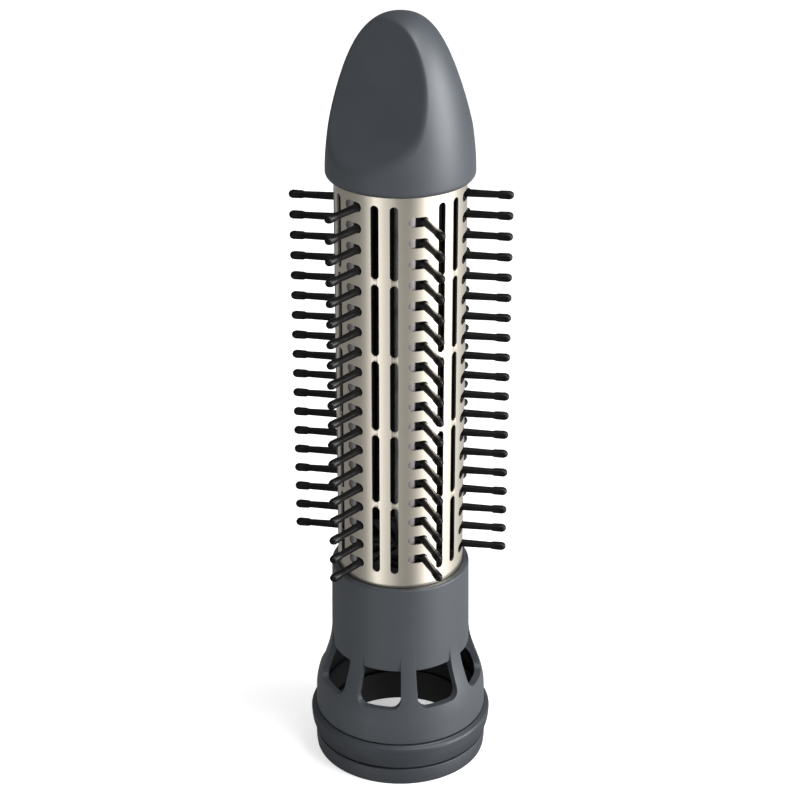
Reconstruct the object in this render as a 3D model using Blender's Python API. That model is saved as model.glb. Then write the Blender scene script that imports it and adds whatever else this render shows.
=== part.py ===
"""Hot air brush head with six rows of bristles that retract into a slotted metal barrel.

Warm air comes up through the open base and the collar and leaves through the barrel's slots. Turning the
cap turns a shaft with a scroll plate at each end of the barrel. Each comb has a pin at both ends. The pins
stand in straight slots of the fixed guide plates and in spiral slots of the scroll plates, so all six combs
slide inwards together until their tips are level with the barrel.

Lengths are millimetres and angles are degrees. Heights are measured from the bottom of the base. Azimuths
are measured from the front (-Y), counter-clockwise as seen from above.
"""

import math

import bmesh
import bpy
from mathutils import Vector

MM = 0.001
GAP = 0.3                       # clearance between pieces that touch or slide
ROUND_SIDES = 32                # facets of the large turned pieces
SMALL_SIDES = 16                # facets of hubs, bushes and washers
PIN_SIDES = 8                   # facets of pins, screws and screw holes

# Barrel and its slots.
BARREL_RADIUS = 15.0
BARREL_WALL = 0.6
BARREL_BOTTOM = 40.2
BARREL_TOP = 149.2
BARREL_SIDES = 36
BRISTLE_SLOT_LEFT = -14.2       # azimuths of the slot's ends, measured from its bristle
BRISTLE_SLOT_RIGHT = 3.7
BRISTLE_SLOT_HEIGHT = 2.15
LONG_SLOT_AZIMUTHS = (16.7, 33.7)
LONG_SLOT_WIDTH = 1.85
LONG_SLOT_LENGTH = 17.2
LONG_SLOT_PITCH = 18.57
LONG_SLOT_COUNT = 5
LONG_SLOT_TOP = 147.15
SLOT_POINT = 0.52               # length of a slot's tapered end

# Combs: a spine, its bristles and the pin at each end.
ROW_COUNT = 6
FIRST_ROW_AZIMUTH = 20.95
BRISTLE_PITCH = 4.946
LONG_ROW_BRISTLES = 19
TOP_BRISTLE = 146.0             # height of the highest bristle, in a long row
BRISTLE_TIP = 25.5              # distance of the tips from the axis
BRISTLE_BASE_RADIUS = 0.8
BRISTLE_TIP_RADIUS = 0.72
BRISTLE_SIDES = 5
BRISTLE_ROOT = 0.5              # how far a bristle reaches into the spine
SPINE_TOP = 147.1
SPINE_BOTTOM = 55.7
SPINE_OUTER = 14.1
SPINE_INNER = 12.3
SPINE_OUTER_HALF_WIDTH = 1.4
SPINE_INNER_HALF_WIDTH = 0.85
PIN_RADIUS = 0.6
PIN_DISTANCE = 13.0             # distance of a pin from the axis when the bristles are out

# Retracting mechanism.
CAP_TURN = 180.0                # turn of the cap that draws the bristles in
SCROLL_LEAD = 3.31              # inward travel for each radian of turn
SCROLL_STEP = 15.0
PLATE_THICKNESS = 1.5
PLATE_RADIUS = 14.1
PIN_SLOT_HALF_WIDTH = 0.8
SHAFT_RADIUS = 1.3
SHAFT_BORE = 1.4
SHAFT_BOTTOM = 34.0
SHAFT_TOP = 161.0
CLIP_HEIGHT = 0.6
CLIP_GROOVE_RADIUS = 0.95
CLIP_GROOVE_RISE = 0.9          # height of the groove above the shaft's end
CLIP_RADIUS = 2.6
CLIP_SPREAD = 28.0              # azimuth step of the clip's outline, in degrees
SHAFT_CHAMFER = 0.3
WASHER_RADIUS = 3.4
WASHER_THICKNESS = 0.5
SCROLL_BOSS_RADIUS = 3.2
VENT_INNER = 5.5
VENT_OUTER = 12.2
VENT_HALF_ANGLE = 17.0

# Collar: neck, ribbed skirt and the ledge that carries the barrel.
NECK_RADIUS = 16.75
NECK_TOP_RADIUS = 16.55
NECK_TOP = 51.8
NECK_RIM = 0.6                  # chamfer on the upper rim
NECK_BOTTOM = 29.6
LEDGE_TOP = 36.5
LEDGE_RADIUS = 12.6
SKIRT_RADIUS = 20.8
SKIRT_EDGE_RADIUS = 20.85
SKIRT_BOTTOM = 11.5
SHOULDER_TOP = 34.9
SHOULDER_BOTTOM = 16.0
SHOULDER_EASE = 1.15            # above 1, the curve is fuller towards the bottom
SHOULDER_STEPS = 7
SKIRT_WALL = 1.6
SKIRT_ROOT_TOP = 35.5
SKIRT_ROOT_RADIUS = 16.5
SKIRT_ROOT_INNER = 15.8
SKIRT_ROOT_BOTTOM = 28.0
WINDOW_COUNT = 8
WINDOW_AZIMUTH = -16.0
WINDOW_HALF_ANGLE = 16.4
WINDOW_SILL = 20.4
WINDOW_CORNER = 2.2
WINDOW_CORNER_STEPS = 2

# Base: coupling ring and lock ring.
COUPLING_BOTTOM = 4.95
COUPLING_TOP = 11.3
COUPLING_FOOT_RADIUS = 21.2
COUPLING_WAIST_RADIUS = 21.9
COUPLING_WAIST_HEIGHT = 7.4
COUPLING_EDGE = 0.3             # chamfer on the lower rim
BEAD_RADIUS = 22.15
BEAD_HEIGHT = 9.5
BEAD_ROUND = 1.4                # height of the rounding above the bead
COUPLING_BORE = 18.0
SPIGOT_RADIUS = 18.8
SPIGOT_TOP = 14.5
LOCK_RADIUS = 21.05
LOCK_TOP = 4.35
LOCK_FOOT_RADIUS = 20.85
LOCK_TAPER_HEIGHT = 1.2
LOCK_EDGE = 0.3                 # chamfer on both rims
LOCK_SLEEVE_RADIUS = 17.7
LOCK_BORE = 17.2
LOCK_SLEEVE_TOP = 8.0
LUG_COUNT = 3
LUG_INNER = 16.2
LUG_ROOT = 0.6                  # how far a lug reaches into the sleeve's wall
LUG_HALF_WIDTH = 2.2
LUG_BOTTOM = 1.6
LUG_TOP = 3.4

# Cap: a rounded knob with a hollow for the fingers on two opposite sides.
CAP_BOTTOM = 149.5
CAP_WIDEST = 151.0
CAP_TOP = 186.4
CAP_RADIUS = 16.9
CAP_RIM_RADIUS = 15.9
CAP_ROUNDNESS = 2.42
CAP_TAPER = 1.68
CAP_STEPS = 9
CAP_SIDES = 32
CAP_CROWN_RADIUS = 0.6          # the small flat on the very top
GRIP_AZIMUTH = -39.0
GRIP_BOTTOM = 154.0
GRIP_START = 155.0              # height at which the hollow meets the cap's side
GRIP_NECK = 3.15                # half thickness that the grip tends to
GRIP_DEPTH = 10.95
GRIP_EASE = 13.54
GRIP_BOWL = 0.414               # extra slope of the hollow's lower end
GRIP_BOWL_TOP = 161.3
GRIP_STEPS = 10
CAP_MOUTH_RADIUS = 14.5
CAP_MOUTH_TOP = 151.2
CAP_WELL_RADIUS = 13.0
CAP_WELL_TOP = 153.5
SOCKET_TOP = 163.6
SOCKET_RADIUS = 5.0
CAP_HOLLOW_RADIUS = 3.2
CAP_HOLLOW_TOP = 177.0

# Hub that the cap snaps onto, and its screw.
HUB_FLANGE_RADIUS = 9.0
HUB_BOTTOM = 151.0
HUB_FLANGE_TOP = 153.2
HUB_TOP = 163.0
HUB_RADIUS = 4.6
SCREW_HOLE_BOTTOM = 154.0
SCREW_HOLE_RADIUS = 0.9
SCREW_SHANK_GAP = 0.2
HUB_SCREW_HEAD_RADIUS = 2.2
HUB_SCREW_CROWN_RADIUS = 1.6
HUB_SCREW_HEAD_HEIGHT = 0.9
HUB_SCREW_HEIGHT = 1.5

# Bearing spider, bush, seal and detent under the barrel.
SPIDER_BOTTOM = 36.8
SPIDER_TOP = 38.8
SPIDER_RADIUS = 15.0
SPIDER_RING_INNER = 12.2
SPIDER_HUB_RADIUS = 4.2
SPIDER_HUB_BORE = 3.3
SPIDER_HUB_TOP = 44.0
SPOKE_COUNT = 3
SPOKE_HALF_WIDTH = 1.5
BUSH_RADIUS = 3.0
BUSH_FLANGE_TOP = 45.3
SEAL_INNER = 13.6
SEAL_BOTTOM = 39.1
SEAL_TOP = 39.9
DETENT_HALF_WIDTH = 1.6
DETENT_THICKNESS = 0.4
DETENT_FOOT_RADII = (11.6, 6.6)
DETENT_BEND = (5.8, 0.9)        # radius, and height above the foot
DETENT_RISE = (8.0, 1.4)        # radius, and depth below the crest
DETENT_CREST_RADIUS = 9.6
DETENT_TIP = (11.4, 1.2)        # radius, and depth below the crest

# Screws that hold the spider on the collar's ledge.
SCREW_COUNT = 4
SCREW_AZIMUTH = -38.5
SCREW_CIRCLE = 14.0
SCREW_RADIUS = 0.6
SCREW_CLEARANCE = 0.85
SCREW_HEAD_RADIUS = 1.0
SCREW_HEAD_HEIGHT = 1.2
SCREW_HEAD_BOTTOM = 29.9
SCREW_TOP = 38.3
COUNTERBORE_RADIUS = 1.3


def clear_scene():
    for item in list(bpy.data.objects):
        bpy.data.objects.remove(item, do_unlink=True)


def make_material(name, colour, roughness, metallic):
    material = bpy.data.materials.new(name)
    material.use_nodes = True
    shader = material.node_tree.nodes["Principled BSDF"]
    shader.inputs["Base Color"].default_value = (*colour, 1.0)
    shader.inputs["Roughness"].default_value = roughness
    shader.inputs["Metallic"].default_value = metallic
    return material


def at(radius, azimuth, height=0.0, sideways=0.0):
    """The point at a distance from the axis, and then to the right as seen from outside."""
    angle = math.radians(azimuth)
    outward = Vector((math.sin(angle), -math.cos(angle), 0.0))
    right = Vector((math.cos(angle), math.sin(angle), 0.0))
    return outward * radius + right * sideways + Vector((0.0, 0.0, height))


def circle(radius, height, sides, centre=(0.0, 0.0), first=0.0):
    points = []
    for step in range(sides):
        point = at(radius, first + 360.0 * step / sides, height)
        points.append(point + Vector((centre[0], centre[1], 0.0)))
    return points


def add_loft(bm, sections, closed=False):
    """Skin rings of points. The ends are capped, or joined to each other when the loft is closed."""
    rings = [[bm.verts.new(Vector(point) * MM) for point in section] for section in sections]
    faces = []
    followers = rings[1:] + rings[:1] if closed else rings[1:]
    for low, high in zip(rings, followers):
        for step, start in enumerate(low):
            after = (step + 1) % len(low)
            faces.append(bm.faces.new((start, low[after], high[after], high[step])))
    if not closed:
        faces.append(bm.faces.new(reversed(rings[0])))
        faces.append(bm.faces.new(rings[-1]))
    bmesh.ops.recalc_face_normals(bm, faces=faces)


def add_turned_ring(bm, profile, sides=ROUND_SIDES, first=0.0):
    """Turn a closed outline of (radius, height) points about the axis."""
    add_loft(bm, [circle(radius, height, sides, first=first) for radius, height in profile], closed=True)


def add_rod(bm, profile, sides, centre=(0.0, 0.0)):
    """A solid rod through (radius, height) points, with flat ends."""
    add_loft(bm, [circle(radius, height, sides, centre) for radius, height in profile])


def add_block(bm, azimuth, radii, half_width, heights):
    """A straight-sided block that points outwards."""
    sections = []
    for radius in radii:
        sections.append([
            at(radius, azimuth, heights[0], -half_width),
            at(radius, azimuth, heights[0], half_width),
            at(radius, azimuth, heights[1], half_width),
            at(radius, azimuth, heights[1], -half_width),
        ])
    add_loft(bm, sections)


def make_object(name, bm):
    mesh = bpy.data.meshes.new(name)
    bm.to_mesh(mesh)
    bm.free()
    made = bpy.data.objects.new(name, mesh)
    bpy.context.scene.collection.objects.link(made)
    return made


def make_part(name, bm, material, pivot=(0.0, 0.0, 0.0)):
    """One named piece. Its origin is put on the joint's axis."""
    bmesh.ops.translate(bm, verts=bm.verts, vec=-Vector(pivot) * MM)
    part = make_object(name, bm)
    part.location = Vector(pivot) * MM
    part.data.materials.append(material)
    part.data.shade_smooth()
    part.data.set_sharp_from_angle(angle=math.radians(35.0))
    return part


def combine(part, name, bm, operation):
    """Cut a guide body out of a part, or join it to the part, with a Boolean modifier."""
    guide = make_object(name, bm)
    guide.hide_render = True
    guide.display_type = "WIRE"
    modifier = part.modifiers.new(name, "BOOLEAN")
    modifier.operation = operation
    modifier.object = guide


def row_azimuth(row):
    return FIRST_ROW_AZIMUTH + 360.0 / ROW_COUNT * row


def bristle_heights(row):
    """Rows alternate: the odd ones have one bristle fewer and stand half a pitch lower."""
    if row % 2 == 1:
        return [TOP_BRISTLE - BRISTLE_PITCH * step for step in range(LONG_ROW_BRISTLES)]
    return [TOP_BRISTLE - BRISTLE_PITCH * (step + 0.5) for step in range(LONG_ROW_BRISTLES - 1)]


def add_slot(bm, azimuth, height, half_width, half_height):
    """A radial cutter. The long upright slots get tapered ends, the short crosswise ones stay square."""
    if half_width > half_height:
        outline = [
            (-half_width, -half_height), (half_width, -half_height),
            (half_width, half_height), (-half_width, half_height),
        ]
    else:
        outline = [
            (0.0, -half_height), (half_width, -half_height + SLOT_POINT),
            (half_width, half_height - SLOT_POINT), (0.0, half_height),
            (-half_width, half_height - SLOT_POINT), (-half_width, -half_height + SLOT_POINT),
        ]
    sections = []
    for radius in (BARREL_RADIUS - 2.0, BARREL_RADIUS + 1.0):
        sections.append([at(radius, azimuth, height + up, sideways) for sideways, up in outline])
    add_loft(bm, sections)


def build_barrel(material):
    slot_middle = (BRISTLE_SLOT_LEFT + BRISTLE_SLOT_RIGHT) / 2
    inner = BARREL_RADIUS - BARREL_WALL
    profile = [
        (BARREL_RADIUS, BARREL_BOTTOM), (BARREL_RADIUS, BARREL_TOP),
        (inner, BARREL_TOP), (inner, BARREL_BOTTOM),
    ]
    tube = bmesh.new()
    add_turned_ring(tube, profile, BARREL_SIDES, first=FIRST_ROW_AZIMUTH + slot_middle)
    barrel = make_part("barrel", tube, material)
    half_angle = math.radians(BRISTLE_SLOT_RIGHT - BRISTLE_SLOT_LEFT) / 2
    half_width = BARREL_RADIUS * math.sin(half_angle)
    cutters = bmesh.new()
    for row in range(ROW_COUNT):
        for height in bristle_heights(row):
            azimuth = row_azimuth(row) + slot_middle
            add_slot(cutters, azimuth, height, half_width, BRISTLE_SLOT_HEIGHT / 2)
        for offset in LONG_SLOT_AZIMUTHS:
            for step in range(LONG_SLOT_COUNT):
                height = LONG_SLOT_TOP - LONG_SLOT_LENGTH / 2 - LONG_SLOT_PITCH * step
                azimuth = row_azimuth(row) + offset
                add_slot(cutters, azimuth, height, LONG_SLOT_WIDTH / 2, LONG_SLOT_LENGTH / 2)
    combine(barrel, "barrel_slots", cutters, "DIFFERENCE")


def build_comb(row, material):
    """A spine with a wedge section and a pin at each end, and a row of bristles on its outer face."""
    azimuth = row_azimuth(row)
    spine = bmesh.new()
    sections = []
    for height in (SPINE_BOTTOM, SPINE_TOP):
        sections.append([
            at(SPINE_INNER, azimuth, height, -SPINE_INNER_HALF_WIDTH),
            at(SPINE_INNER, azimuth, height, SPINE_INNER_HALF_WIDTH),
            at(SPINE_OUTER, azimuth, height, SPINE_OUTER_HALF_WIDTH),
            at(SPINE_OUTER, azimuth, height, -SPINE_OUTER_HALF_WIDTH),
        ])
    add_loft(spine, sections)
    comb = make_part(f"comb_{row + 1}", spine, material)
    additions = bmesh.new()
    pin = at(PIN_DISTANCE, azimuth)
    pin_root = 1.0
    pin_reach = 2 * (PLATE_THICKNESS + GAP)
    pin_spans = (
        (SPINE_TOP - pin_root, SPINE_TOP + pin_reach),
        (SPINE_BOTTOM - pin_reach, SPINE_BOTTOM + pin_root),
    )
    for bottom, top in pin_spans:
        add_rod(additions, [(PIN_RADIUS, bottom), (PIN_RADIUS, top)], PIN_SIDES, (pin.x, pin.y))
    for height in bristle_heights(row):
        sections = []
        ends = ((SPINE_OUTER - BRISTLE_ROOT, BRISTLE_BASE_RADIUS), (BRISTLE_TIP, BRISTLE_TIP_RADIUS))
        for distance, radius in ends:
            ring = []
            for side in range(BRISTLE_SIDES):
                angle = 2 * math.pi * side / BRISTLE_SIDES
                up = radius * math.sin(angle)
                ring.append(at(distance, azimuth, height + up, radius * math.cos(angle)))
            sections.append(ring)
        add_loft(additions, sections)
    combine(comb, f"comb_{row + 1}_bristles", additions, "UNION")


def plate(name, bottom, material):
    """A round plate with a bore for the shaft."""
    bm = bmesh.new()
    top = bottom + PLATE_THICKNESS
    profile = [(PLATE_RADIUS, bottom), (PLATE_RADIUS, top), (SHAFT_BORE, top), (SHAFT_BORE, bottom)]
    add_turned_ring(bm, profile, BARREL_SIDES)
    return make_part(name, bm, material)


def build_guide_plate(name, bottom, vented, material):
    """A fixed plate with a straight slot for each comb's pin, and vents if air passes through it."""
    guide = plate(name, bottom, material)
    travel = SCROLL_LEAD * math.radians(CAP_TURN)
    heights = (bottom - 1.0, bottom + PLATE_THICKNESS + 1.0)
    radii = (PIN_DISTANCE - travel - PIN_RADIUS - 0.1, PIN_DISTANCE + PIN_RADIUS + 0.1)
    cutters = bmesh.new()
    for row in range(ROW_COUNT):
        add_block(cutters, row_azimuth(row), radii, PIN_SLOT_HALF_WIDTH, heights)
        if vented:
            middle = row_azimuth(row) + 180.0 / ROW_COUNT
            corners = []
            for radius, half_angle in ((VENT_INNER, VENT_HALF_ANGLE * 0.75), (VENT_OUTER, VENT_HALF_ANGLE)):
                corners.append((radius, middle - half_angle))
                corners.append((radius, middle + half_angle))
            corners[2], corners[3] = corners[3], corners[2]
            sections = [[at(radius, angle, height) for radius, angle in corners] for height in heights]
            add_loft(cutters, sections)
    combine(guide, f"{name}_slots", cutters, "DIFFERENCE")


def spiral_outline(azimuth):
    """The outline of one spiral slot: constant width about the path that the pin takes in the plate."""
    steps = round(CAP_TURN / SCROLL_STEP)
    path = []
    for step in range(steps + 1):
        turned = SCROLL_STEP * step
        path.append(at(PIN_DISTANCE - SCROLL_LEAD * math.radians(turned), azimuth - turned))
    left, right = [], []
    directions = []
    for step, point in enumerate(path):
        before = path[max(step - 1, 0)]
        after = path[min(step + 1, steps)]
        directions.append((after - before).normalized())
        side = Vector((-directions[-1].y, directions[-1].x, 0.0)) * PIN_SLOT_HALF_WIDTH
        left.append(point + side)
        right.append(point - side)

    def round_end(centre, direction):
        side = Vector((-direction.y, direction.x, 0.0))
        turns = (math.radians(angle) for angle in (45.0, 0.0, -45.0))
        return [centre + (direction * math.cos(turn) + side * math.sin(turn)) * PIN_SLOT_HALF_WIDTH
                for turn in turns]

    return (left + round_end(path[-1], directions[-1])
            + right[::-1] + round_end(path[0], -directions[0]))


def build_scroll(name, bottom, boss_bottom, material):
    """A turning plate with six spiral slots, with a boss below it if it needs a longer grip on the shaft."""
    if boss_bottom is None:
        scroll = plate(name, bottom, material)
    else:
        bm = bmesh.new()
        top = bottom + PLATE_THICKNESS
        profile = [
            (PLATE_RADIUS, bottom), (PLATE_RADIUS, top), (SHAFT_BORE, top),
            (SHAFT_BORE, boss_bottom), (SCROLL_BOSS_RADIUS, boss_bottom), (SCROLL_BOSS_RADIUS, bottom),
        ]
        add_turned_ring(bm, profile, BARREL_SIDES)
        scroll = make_part(name, bm, material)
    cutters = bmesh.new()
    below = bottom - GAP if boss_bottom is None else bottom - 1.0
    for row in range(ROW_COUNT):
        outline = spiral_outline(row_azimuth(row))
        sections = []
        for height in (below, bottom + PLATE_THICKNESS + 1.0):
            sections.append([point + Vector((0.0, 0.0, height)) for point in outline])
        add_loft(cutters, sections)
    combine(scroll, f"{name}_spirals", cutters, "DIFFERENCE")


def skirt_radius(height):
    """Outer radius of the collar's shoulder, an eased curve from the neck to the skirt."""
    share = (SHOULDER_TOP - height) / (SHOULDER_TOP - SHOULDER_BOTTOM)
    share = min(max(share, 0.0), 1.0) ** SHOULDER_EASE
    return NECK_RADIUS + (SKIRT_RADIUS - NECK_RADIUS) * (1.0 - math.cos(math.pi * share)) / 2


def window_outline(half_width, top):
    """A U shape: straight sides and a sill with rounded corners."""
    points = [(half_width, top)]
    quarter = math.pi / 2
    for step in range(WINDOW_CORNER_STEPS + 1):
        angle = -quarter * step / WINDOW_CORNER_STEPS
        points.append((half_width - WINDOW_CORNER + WINDOW_CORNER * math.cos(angle),
                       WINDOW_SILL + WINDOW_CORNER + WINDOW_CORNER * math.sin(angle)))
    mirrored = [(-sideways, height) for sideways, height in reversed(points)]
    return points + mirrored


def build_collar(material):
    """The skirt is cut first, and the neck is joined to the ribs that are left between the windows."""
    span = SHOULDER_TOP - SHOULDER_BOTTOM
    heights = [SHOULDER_BOTTOM + span * step / SHOULDER_STEPS for step in range(SHOULDER_STEPS)]
    outside = [(SKIRT_EDGE_RADIUS, SKIRT_BOTTOM)] + [(skirt_radius(height), height) for height in heights]
    inside = []
    for height in reversed(heights):
        if height < SKIRT_ROOT_BOTTOM - 0.5:
            inside.append((skirt_radius(height) - SKIRT_WALL, height))
    profile = (outside + [(SKIRT_ROOT_RADIUS, SKIRT_ROOT_TOP), (SKIRT_ROOT_INNER, SKIRT_ROOT_TOP),
                          (SKIRT_ROOT_INNER, SKIRT_ROOT_BOTTOM)]
               + inside + [(SKIRT_EDGE_RADIUS - SKIRT_WALL, SKIRT_BOTTOM)])
    skirt = bmesh.new()
    add_turned_ring(skirt, profile)
    collar = make_part("collar", skirt, material)

    windows = bmesh.new()
    for window in range(WINDOW_COUNT):
        azimuth = WINDOW_AZIMUTH + 360.0 / WINDOW_COUNT * window
        sections = []
        for radius in (SKIRT_ROOT_INNER - 2.0, SKIRT_RADIUS + 2.0):
            half_width = radius * math.tan(math.radians(WINDOW_HALF_ANGLE))
            outline = window_outline(half_width, SKIRT_ROOT_TOP + 1.0)
            sections.append([at(radius, azimuth, height, sideways) for sideways, height in outline])
        add_loft(windows, sections)
    combine(collar, "collar_windows", windows, "DIFFERENCE")

    bore = BARREL_RADIUS + GAP
    neck = bmesh.new()
    add_turned_ring(neck, [
        (NECK_RADIUS, NECK_BOTTOM), (NECK_RADIUS, SHOULDER_TOP),
        (NECK_TOP_RADIUS, NECK_TOP - NECK_RIM), (NECK_TOP_RADIUS - NECK_RIM, NECK_TOP),
        (bore, NECK_TOP), (bore, LEDGE_TOP), (LEDGE_RADIUS, LEDGE_TOP), (LEDGE_RADIUS, NECK_BOTTOM),
    ])
    combine(collar, "collar_neck", neck, "UNION")

    holes = bmesh.new()
    recess_top = SCREW_HEAD_BOTTOM + SCREW_HEAD_HEIGHT + GAP
    for screw in range(SCREW_COUNT):
        centre = at(SCREW_CIRCLE, SCREW_AZIMUTH + 360.0 / SCREW_COUNT * screw)
        profile = [
            (COUNTERBORE_RADIUS, NECK_BOTTOM - 1.0), (COUNTERBORE_RADIUS, recess_top),
            (SCREW_CLEARANCE, recess_top), (SCREW_CLEARANCE, LEDGE_TOP + 1.0),
        ]
        add_rod(holes, profile, PIN_SIDES, (centre.x, centre.y))
    combine(collar, "collar_screw_holes", holes, "DIFFERENCE")


def build_coupling_ring(material):
    bm = bmesh.new()
    add_turned_ring(bm, [
        (COUPLING_FOOT_RADIUS - COUPLING_EDGE, COUPLING_BOTTOM),
        (COUPLING_FOOT_RADIUS, COUPLING_BOTTOM + COUPLING_EDGE),
        (COUPLING_WAIST_RADIUS, COUPLING_WAIST_HEIGHT), (BEAD_RADIUS, BEAD_HEIGHT),
        (BEAD_RADIUS - BEAD_ROUND / 4, BEAD_HEIGHT + BEAD_ROUND),
        (SKIRT_EDGE_RADIUS + COUPLING_EDGE, COUPLING_TOP),
        (SPIGOT_RADIUS, COUPLING_TOP), (SPIGOT_RADIUS, SPIGOT_TOP),
        (COUPLING_BORE, SPIGOT_TOP), (COUPLING_BORE, COUPLING_BOTTOM),
    ])
    make_part("coupling_ring", bm, material)


def build_lock_ring(material):
    """The lowest ring: a sleeve inside the coupling ring, and three lugs for a quarter-turn fitting."""
    bm = bmesh.new()
    add_turned_ring(bm, [
        (LOCK_FOOT_RADIUS - LOCK_EDGE, 0.0), (LOCK_FOOT_RADIUS, LOCK_EDGE),
        (LOCK_RADIUS - LOCK_EDGE / 2, LOCK_TAPER_HEIGHT),
        (LOCK_RADIUS, LOCK_TOP - LOCK_EDGE), (LOCK_RADIUS - LOCK_EDGE, LOCK_TOP),
        (LOCK_SLEEVE_RADIUS, LOCK_TOP), (LOCK_SLEEVE_RADIUS, LOCK_SLEEVE_TOP),
        (LOCK_BORE, LOCK_SLEEVE_TOP), (LOCK_BORE, 0.0),
    ])
    ring = make_part("lock_ring", bm, material)
    lugs = bmesh.new()
    for lug in range(LUG_COUNT):
        azimuth = 360.0 / LUG_COUNT * lug
        add_block(lugs, azimuth, (LUG_INNER, LOCK_BORE + LUG_ROOT), LUG_HALF_WIDTH, (LUG_BOTTOM, LUG_TOP))
    combine(ring, "lock_ring_lugs", lugs, "UNION")


def cap_radius(height):
    """Outer radius of the cap, a superellipse from its widest height to its top."""
    share = (height - CAP_WIDEST) / (CAP_TOP - CAP_WIDEST)
    return CAP_RADIUS * (1.0 - share ** CAP_TAPER) ** (1.0 / CAP_ROUNDNESS)


def grip_distance(height):
    """Distance of the finger hollow from the plane of the grip, at a height."""
    bowl = GRIP_BOWL * max(GRIP_BOWL_TOP - height, 0.0)
    return GRIP_NECK + GRIP_DEPTH * math.exp((GRIP_START - height) / GRIP_EASE) + bowl


def build_cap(material):
    """A turned knob with two finger hollows, open below for the hub and the upper scroll plate."""
    outside = [(CAP_MOUTH_RADIUS, CAP_BOTTOM), (CAP_RIM_RADIUS, CAP_BOTTOM)]
    for step in range(CAP_STEPS):
        share = math.sin(math.pi / 2 * step / CAP_STEPS)
        height = CAP_WIDEST + (CAP_TOP - CAP_WIDEST) * share
        outside.append((cap_radius(height), height))
    outside.append((CAP_CROWN_RADIUS, CAP_TOP))
    knob = bmesh.new()
    add_loft(knob, [circle(radius, height, CAP_SIDES) for radius, height in outside])
    cap = make_part("cap", knob, material, pivot=(0.0, 0.0, CAP_BOTTOM))

    hollows = bmesh.new()
    reach = CAP_RADIUS + 5.0
    for azimuth in (GRIP_AZIMUTH, GRIP_AZIMUTH + 180.0):
        outline = [(reach, CAP_TOP + 2.0), (reach, GRIP_BOTTOM)]
        for step in range(GRIP_STEPS + 1):
            height = GRIP_BOTTOM + (CAP_TOP + 2.0 - GRIP_BOTTOM) * step / GRIP_STEPS
            outline.append((grip_distance(height), height))
        sections = []
        for sideways in (-reach, reach):
            sections.append([at(radius, azimuth, height, sideways) for radius, height in outline])
        add_loft(hollows, sections)
    combine(cap, "cap_finger_hollows", hollows, "DIFFERENCE")

    inside = bmesh.new()
    add_rod(inside, [
        (CAP_MOUTH_RADIUS, CAP_BOTTOM - 1.0), (CAP_MOUTH_RADIUS, CAP_MOUTH_TOP),
        (CAP_WELL_RADIUS, CAP_MOUTH_TOP), (CAP_WELL_RADIUS, CAP_WELL_TOP),
    ], ROUND_SIDES)
    combine(cap, "cap_well", inside, "DIFFERENCE")
    socket = bmesh.new()
    add_rod(socket, [(SOCKET_RADIUS, CAP_WELL_TOP - 1.0), (SOCKET_RADIUS, SOCKET_TOP)], 6)
    combine(cap, "cap_socket", socket, "DIFFERENCE")
    hollow = bmesh.new()
    add_rod(hollow, [
        (CAP_HOLLOW_RADIUS, SOCKET_TOP - 1.0), (CAP_HOLLOW_RADIUS, CAP_HOLLOW_TOP - 3.0),
        (CAP_HOLLOW_RADIUS - 1.5, CAP_HOLLOW_TOP),
    ], SMALL_SIDES)
    combine(cap, "cap_hollow", hollow, "DIFFERENCE")


def build_hub(plastic, steel):
    bm = bmesh.new()
    add_turned_ring(bm, [
        (HUB_FLANGE_RADIUS, HUB_BOTTOM), (HUB_FLANGE_RADIUS, HUB_FLANGE_TOP),
        (SHAFT_BORE, HUB_FLANGE_TOP), (SHAFT_BORE, HUB_BOTTOM),
    ], SMALL_SIDES)
    hub = make_part("cap_hub", bm, plastic, pivot=(0.0, 0.0, HUB_BOTTOM))
    drive = bmesh.new()
    add_rod(drive, [(HUB_RADIUS, HUB_FLANGE_TOP - 1.0), (HUB_RADIUS, HUB_TOP)], 6)
    combine(hub, "cap_hub_hexagon", drive, "UNION")
    bore = bmesh.new()
    add_rod(bore, [(SHAFT_BORE, HUB_BOTTOM - 1.0), (SHAFT_BORE, HUB_TOP + 1.0)], SMALL_SIDES)
    combine(hub, "cap_hub_bore", bore, "DIFFERENCE")

    screw = bmesh.new()
    head_bottom = HUB_TOP + GAP
    shank = SCREW_HOLE_RADIUS - SCREW_SHANK_GAP
    add_rod(screw, [
        (shank, SCREW_HOLE_BOTTOM + 1.0), (shank, head_bottom),
        (HUB_SCREW_HEAD_RADIUS, head_bottom), (HUB_SCREW_HEAD_RADIUS, head_bottom + HUB_SCREW_HEAD_HEIGHT),
        (HUB_SCREW_CROWN_RADIUS, head_bottom + HUB_SCREW_HEIGHT),
    ], SMALL_SIDES)
    make_part("hub_screw", screw, steel, pivot=(0.0, 0.0, HUB_TOP))


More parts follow.
